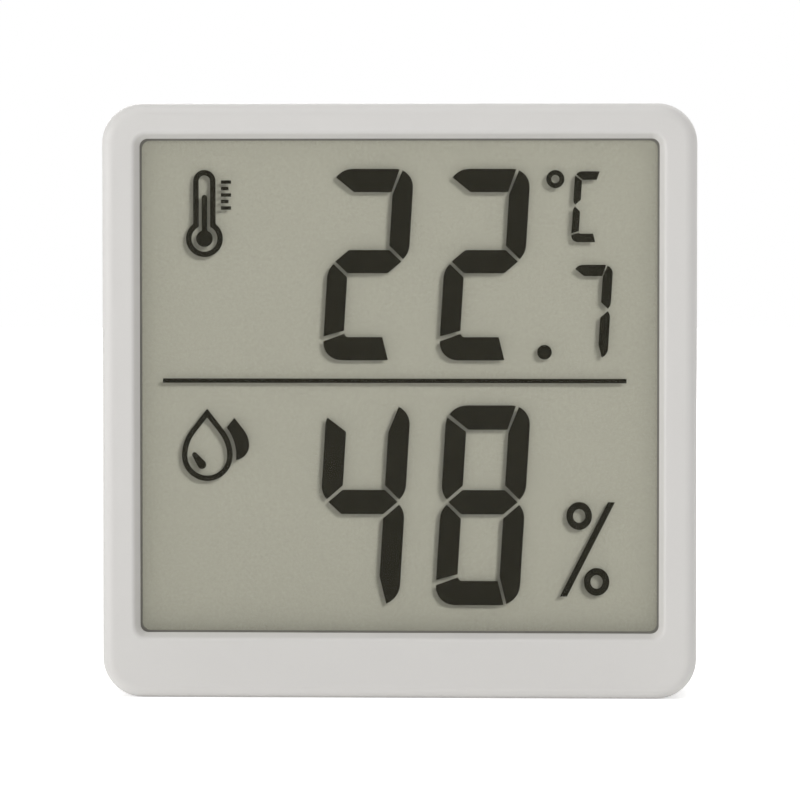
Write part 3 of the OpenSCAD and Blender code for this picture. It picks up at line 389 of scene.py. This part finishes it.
# Holder: a white moulded tray with a rim, which drops into the front half and locates the
# display in front of it and the board behind it.
tray = grained("holder_plastic", tone(235, 235, 230), mottle=0.03, pit_size=0.00020, roughness=0.45,
               relief=0.000003)
dress(tray, "lcd_holder")


# Contact strip: a bar of silicone rubber with thin conducting layers every fifth of a millimetre,
# squeezed between the glass ledge and the board's pads.
def object_axes(tree):
    """The X, Y and Z sockets of a point's place on its object."""
    return add_node(tree, "ShaderNodeSeparateXYZ", Vector=object_place(tree)).outputs


def stripes(tree, along, pitch, share):
    """A mask of stripes across one axis that take up a share of their pitch."""
    turn = maths(tree, "FRACT", maths(tree, "MULTIPLY", along, 1 / pitch))
    return maths(tree, "LESS_THAN", turn, share)


def lay_over(finish, mask, colour, metal=False):
    """Lays a second colour over a material's own, as far as the mask goes, and makes it metal if asked."""
    tree = finish.node_tree
    sockets = tree.nodes["Principled BSDF"].inputs
    mixed = tree.nodes.new("ShaderNodeMix")
    mixed.data_type = "RGBA"
    mixed.inputs["B"].default_value = colour
    tree.links.new(mask, mixed.inputs["Factor"])
    tree.links.new(sockets["Base Color"].links[0].from_socket, mixed.inputs["A"])
    tree.links.new(mixed.outputs["Result"], sockets["Base Color"])
    if metal:
        tree.links.new(mask, sockets["Metallic"])


layer_pitch = 0.00020
layer_share = 0.5
rubber = grained("striped_elastomer", tone(176, 186, 196), mottle=0.1, pit_size=0.00005, roughness=0.70,
                 relief=0.000002)
rubber_tree = rubber.node_tree
conducting = stripes(rubber_tree, object_axes(rubber_tree)["X"], layer_pitch, layer_share)
lay_over(rubber, conducting, tone(38, 38, 40))
dress(rubber, "zebra_strip")


# Main board: glass-epoxy laminate under green solder mask, with etched copper tracks below it and
# a row of gold pads where the contact strip presses. Four screws hold it and the holder.
def within(tree, value, low, high):
    """A mask of the stretch between two values."""
    return maths(tree, "MULTIPLY", maths(tree, "GREATER_THAN", value, low),
                 maths(tree, "LESS_THAN", value, high))


track_run = 0.0042
track_pitch = 0.0006
track_width = 0.00008
track_stagger = 0.37
short_run = 0.55
short_run_every = 3
field_width = 0.0065
field_height = 0.0048
bare_share = 0.30
across_share = 0.40
upright = math.radians(90)
pad_pitch = 0.0009
pad_share = 0.6
pad_depth = 0.00005
gold_tone = tone(222, 186, 104)


def tracks(tree, turn):
    """A mask of parallel tracks in staggered lengths, turned in the board's plane."""
    flat = add_node(tree, "ShaderNodeMapping", Vector=object_place(tree), Rotation=(upright, 0, turn))
    runs = add_node(tree, "ShaderNodeTexBrick", Vector=flat.outputs[0], Scale=1.0, Brick_Width=track_run,
                    Row_Height=track_pitch, Mortar_Size=track_width)
    runs.offset = track_stagger
    runs.squash = short_run
    runs.squash_frequency = short_run_every
    return runs.outputs[1]


def solder_masked(name):
    """Solder mask over fields of copper, some bare, some with tracks across and some with tracks up."""
    finish = grained(name, tone(28, 92, 54), mottle=0.12, pit_size=0.0004, roughness=0.30, relief=0.000003)
    tree = finish.node_tree
    field = vector_maths(tree, "SNAP", object_place(tree), (field_width, 1, field_height))["Vector"]
    lot = add_node(tree, "ShaderNodeTexWhiteNoise", Vector=field).outputs["Value"]
    across_field = within(tree, lot, bare_share, bare_share + across_share)
    up_field = maths(tree, "GREATER_THAN", lot, bare_share + across_share)
    across = maths(tree, "MULTIPLY", tracks(tree, 0), across_field)
    up = maths(tree, "MULTIPLY", tracks(tree, upright), up_field)
    lay_over(finish, maths(tree, "MAXIMUM", across, up), tone(58, 136, 88))
    return finish


main_mask = solder_masked("main_board_mask")
main_tree = main_mask.node_tree
main_x, main_y, main_z = object_axes(main_tree)
strip_lo, strip_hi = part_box("zebra_strip")
board_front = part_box("main_board")[0][1]
pad_row = maths(main_tree, "MULTIPLY", within(main_tree, main_z, strip_lo[2], strip_hi[2]),
                within(main_tree, main_x, strip_lo[0], strip_hi[0]))
pad_face = maths(main_tree, "LESS_THAN", main_y, board_front + pad_depth)
pads = maths(main_tree, "MULTIPLY", stripes(main_tree, main_x, pad_pitch, pad_share),
             maths(main_tree, "MULTIPLY", pad_row, pad_face))
lay_over(main_mask, pads, gold_tone, metal=True)
dress(main_mask, "main_board")


# Board screws: four cross-recess screws of zinc-plated steel, driven through the board into the
# rear cover's posts.
zinc = grained("zinc_plate", tone(190, 191, 196), mottle=0.12, pit_size=0.0003, roughness=0.32,
               relief=0.000002, Metallic=1)
dress(zinc, "board_screws")


# Display driver: a square package of moulded black resin with a moulder's dot by its first lead,
# and four rows of tinned leads soldered to the board.
def spot(tree, centre, radius):
    """A mask of a round spot about a point."""
    away = vector_maths(tree, "DISTANCE", object_place(tree), centre)["Value"]
    return maths(tree, "LESS_THAN", away, radius)


def chip_resin(name, colour, mottle, roughness):
    """Black moulded resin with a fine grain."""
    return grained(name, colour, mottle=mottle, pit_size=0.00006, roughness=roughness, relief=0.000004)


def moulded_chip(name, node, dot_inset, dot_radius):
    """Black resin for one chip, with a darker dot in the upper left corner of its back."""
    finish = chip_resin(name, tone(46, 46, 49), mottle=0.25, roughness=0.60)
    chip_lo, chip_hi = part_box(node)
    dot_middle = (chip_lo[0] + dot_inset, chip_hi[1], chip_hi[2] - dot_inset)
    lay_over(finish, spot(finish.node_tree, dot_middle, dot_radius), tone(20, 20, 22))
    dress(finish, node)


moulded_chip("driver_resin", "lcd_driver_chip", dot_inset=0.0010, dot_radius=0.0004)
tin = grained("tinned_lead", tone(196, 196, 196), mottle=0.10, pit_size=0.0002, roughness=0.35,
              relief=0.000002, Metallic=1)
dress(tin, "driver_chip_leads")


# Crystal and radio shield: lids drawn from thin nickel silver sheet, brushed along their length
# and soldered down, the one over a quartz blank and the other over the radio chip.
def streaks(tree, length, width):
    """A pattern of fine brush marks that run across the object."""
    drawn = add_node(tree, "ShaderNodeMapping", Vector=object_place(tree),
                     Scale=(1 / length, 1 / width, 1 / width))
    return add_node(tree, "ShaderNodeTexNoise", Vector=drawn.outputs[0], Scale=1.0, Detail=4).outputs[0]


nickel = grained("nickel_silver", tone(200, 197, 188), mottle=0.06, pit_size=0.0003, roughness=0.34,
                 relief=0.000001, Metallic=1)
lay_over(nickel, streaks(nickel.node_tree, length=0.003, width=0.00006), tone(150, 147, 140))
dress(nickel, "crystal", "radio_shield_can")


# Radio board: a small board of its own, soldered flat on the main one, with a folded antenna of
# gold-plated copper at its free end and the radio chip under the shield.
dress(solder_masked("radio_board_mask"), "radio_board")
gold = grained("gold_plate", gold_tone, mottle=0.1, pit_size=0.0003, roughness=0.25, relief=0.000002,
               Metallic=1)
dress(gold, "antenna_trace")
moulded_chip("radio_resin", "radio_chip", dot_inset=0.0008, dot_radius=0.0003)


# Climate sensor: a resin package with a round port, closed by a white membrane that passes air
# but keeps dust off the chip behind it. It sits by the vents, beyond a slot in the board.
membrane_radius = 0.00059
sensor_resin = chip_resin("sensor_resin", tone(46, 46, 49), mottle=0.25, roughness=0.60)
sensor_lo, sensor_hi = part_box("climate_sensor")
membrane_middle = (Vector(sensor_lo) + Vector(sensor_hi)) / 2
lay_over(sensor_resin, spot(sensor_resin.node_tree, membrane_middle, membrane_radius), tone(232, 232, 228))
dress(sensor_resin, "climate_sensor")


# Chip capacitors and resistors: small blocks of fired ceramic, the resistors with a black coat.
# Both are dipped in tin at their two ends, where they are soldered to the board.
end_length = 0.0003


def tin_ended(name, node, colour):
    """A ceramic body with tinned ends, for chips in a row up the board whose ends point across it."""
    finish = grained(name, colour, mottle=0.10, pit_size=0.0001, roughness=0.40, relief=0.000002)
    tree = finish.node_tree
    chips_lo, chips_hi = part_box(node)
    body = within(tree, object_axes(tree)["X"], chips_lo[0] + end_length, chips_hi[0] - end_length)
    lay_over(finish, maths(tree, "SUBTRACT", 1, body), tone(200, 200, 200), metal=True)
    dress(finish, node)


tin_ended("capacitor_ceramic", "chip_capacitors", tone(160, 124, 86))
tin_ended("resistor_coat", "chip_resistors", tone(36, 36, 40))


# Tactile switch: a black moulded body under a pressed steel cover plate, and a pale stem that
# carries the button's push to the snap dome inside.
cover_plate = 0.00015
switch_resin = chip_resin("switch_resin", tone(42, 42, 45), mottle=0.2, roughness=0.55)
switch_tree = switch_resin.node_tree
plate_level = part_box("switch_body")[1][1] - cover_plate
plate = maths(switch_tree, "GREATER_THAN", object_axes(switch_tree)["Y"], plate_level)
lay_over(switch_resin, plate, tone(198, 198, 196), metal=True)
dress(switch_resin, "switch_body")
stem_plastic = grained("switch_plastic", tone(230, 224, 205), mottle=0.05, pit_size=0.0001, roughness=0.40,
                       relief=0.000002)
dress(stem_plastic, "switch_stem")


# Cell cradle and contacts: a ring of the holder's white plastic, pegged to the board, with a leaf
# under the cell and a tab at its side, both of gold-plated spring bronze.
dress(tray, "cell_cradle")
dress(gold, "negative_contact", "positive_contact")


# Coin cell: a can and a cap of nickel-plated steel, turned to a fine ring pattern and crimped on
# a white sealing ring round the pressed powder core.
def rings(tree, centre, pitch):
    """A pattern of fine turned rings about an axis that runs from front to back."""
    off = vector_maths(tree, "SUBTRACT", object_place(tree), centre)["Vector"]
    across = vector_maths(tree, "MULTIPLY", off, (1, 0, 1))["Vector"]
    radius = vector_maths(tree, "LENGTH", across)["Value"]
    turned = tree.nodes.new("ShaderNodeTexNoise")
    turned.noise_dimensions = "1D"
    turned.inputs["Scale"].default_value = 1 / pitch
    tree.links.new(radius, turned.inputs["W"])
    return turned.outputs[0]


ring_pitch = 0.00012
cell_lo, cell_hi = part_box("coin_cell_can")
cell_middle = (Vector(cell_lo) + Vector(cell_hi)) / 2
steel = grained("cell_steel", tone(206, 206, 203), mottle=0.08, pit_size=0.0002, roughness=0.30,
                relief=0.000001, Metallic=1)
lay_over(steel, rings(steel.node_tree, cell_middle, ring_pitch), tone(160, 160, 158))
dress(steel, "coin_cell_cap", "coin_cell_can")
core = grained("cell_core", tone(40, 42, 44), mottle=0.2, pit_size=0.0001, roughness=0.80, relief=0.000005)
dress(core, "coin_cell_core")
cell_ring = grained("cell_seal", tone(228, 228, 224), mottle=0.04, pit_size=0.0002, roughness=0.50,
                    relief=0.000002)
dress(cell_ring, "coin_cell_gasket")


# Rear half of the case: a second shell of the same plastic that snaps into the front half. Its
# recesses, keyhole and hole for the door have the small round that a mould leaves on an edge.
sharp_angle = math.radians(30)
flat_angle = math.radians(0.1)
plane_reach = 2 * weld_reach
round_steps = 3


def moulded(name, body, radius, chosen=None):
    """A copy of a CAD node with its sharp edges rounded, or only those that the test picks."""
    mesh = bmesh.new()
    mesh.from_mesh(nodes[name].data)
    bmesh.ops.remove_doubles(mesh, verts=mesh.verts, dist=weld_reach)
    bmesh.ops.dissolve_limit(mesh, verts=mesh.verts, edges=mesh.edges, angle_limit=flat_angle)
    corners = [edge for edge in mesh.edges if edge.calc_face_angle(0) > sharp_angle]
    if chosen:
        corners = [edge for edge in corners if chosen(edge)]
    bmesh.ops.bevel(mesh, geom=corners, offset=radius, offset_type="OFFSET", affect="EDGES",
                    segments=round_steps, profile=0.5, clamp_overlap=False, material=-1)
    for face in mesh.faces:
        face.smooth = True
    for edge in mesh.edges:
        edge.smooth = edge.calc_face_angle(0) < sharp_angle
    shape = bpy.data.meshes.new(name + "_moulding")
    mesh.to_mesh(shape)
    mesh.free()
    if "custom_normal" in shape.attributes:
        shape.attributes.remove(shape.attributes["custom_normal"])
    shape.materials.clear()
    shape.materials.append(case_plastic)
    piece = bpy.data.objects.new(name + "_moulding", shape)
    scene.collection.objects.link(piece)
    evened = piece.modifiers.new("evened", "WEIGHTED_NORMAL")
    evened.keep_sharp = True
    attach(piece, body)
    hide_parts(name)


def across_depth(place):
    """A test for edges that lie in one plane across the case's depth."""
    return lambda edge: all(abs(corner.co.y - place) < plane_reach for corner in edge.verts)


moulded("rear_cover", "case", radius=0.00018, chosen=across_depth(case_hi[1]))


# Battery door: a disc of the same plastic with a coin slot and a locking mark, which turns to lock
# on three lugs under the cover's ledge.
door_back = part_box("battery_door")[1][1]
moulded("battery_door", "door", radius=0.00015, chosen=across_depth(door_back))


# Pairing button: a small dished cap of the same plastic, held in its hole by a flange, which
# presses the switch on the board.
moulded("pairing_button", "button", radius=0.00010)


# Stand: a U-shaped leg of the same plastic on two hinge pins, which folds flush into its recess
# in the back and snaps out past the finger scoop.
pin_reach = 0.00095
joints = {joint["name"]: joint for joint in frame["record"]["behaviour"]["joints"]}
pin_axis = Vector(joints["stand_hinge"]["pos_m"]).yz


def off_the_pins(edge):
    """A test for edges that no hinge pin touches."""
    return all((corner.co.yz - pin_axis).length > pin_reach for corner in edge.verts)


moulded("stand_leg", "stand", radius=0.00025, chosen=off_the_pins)
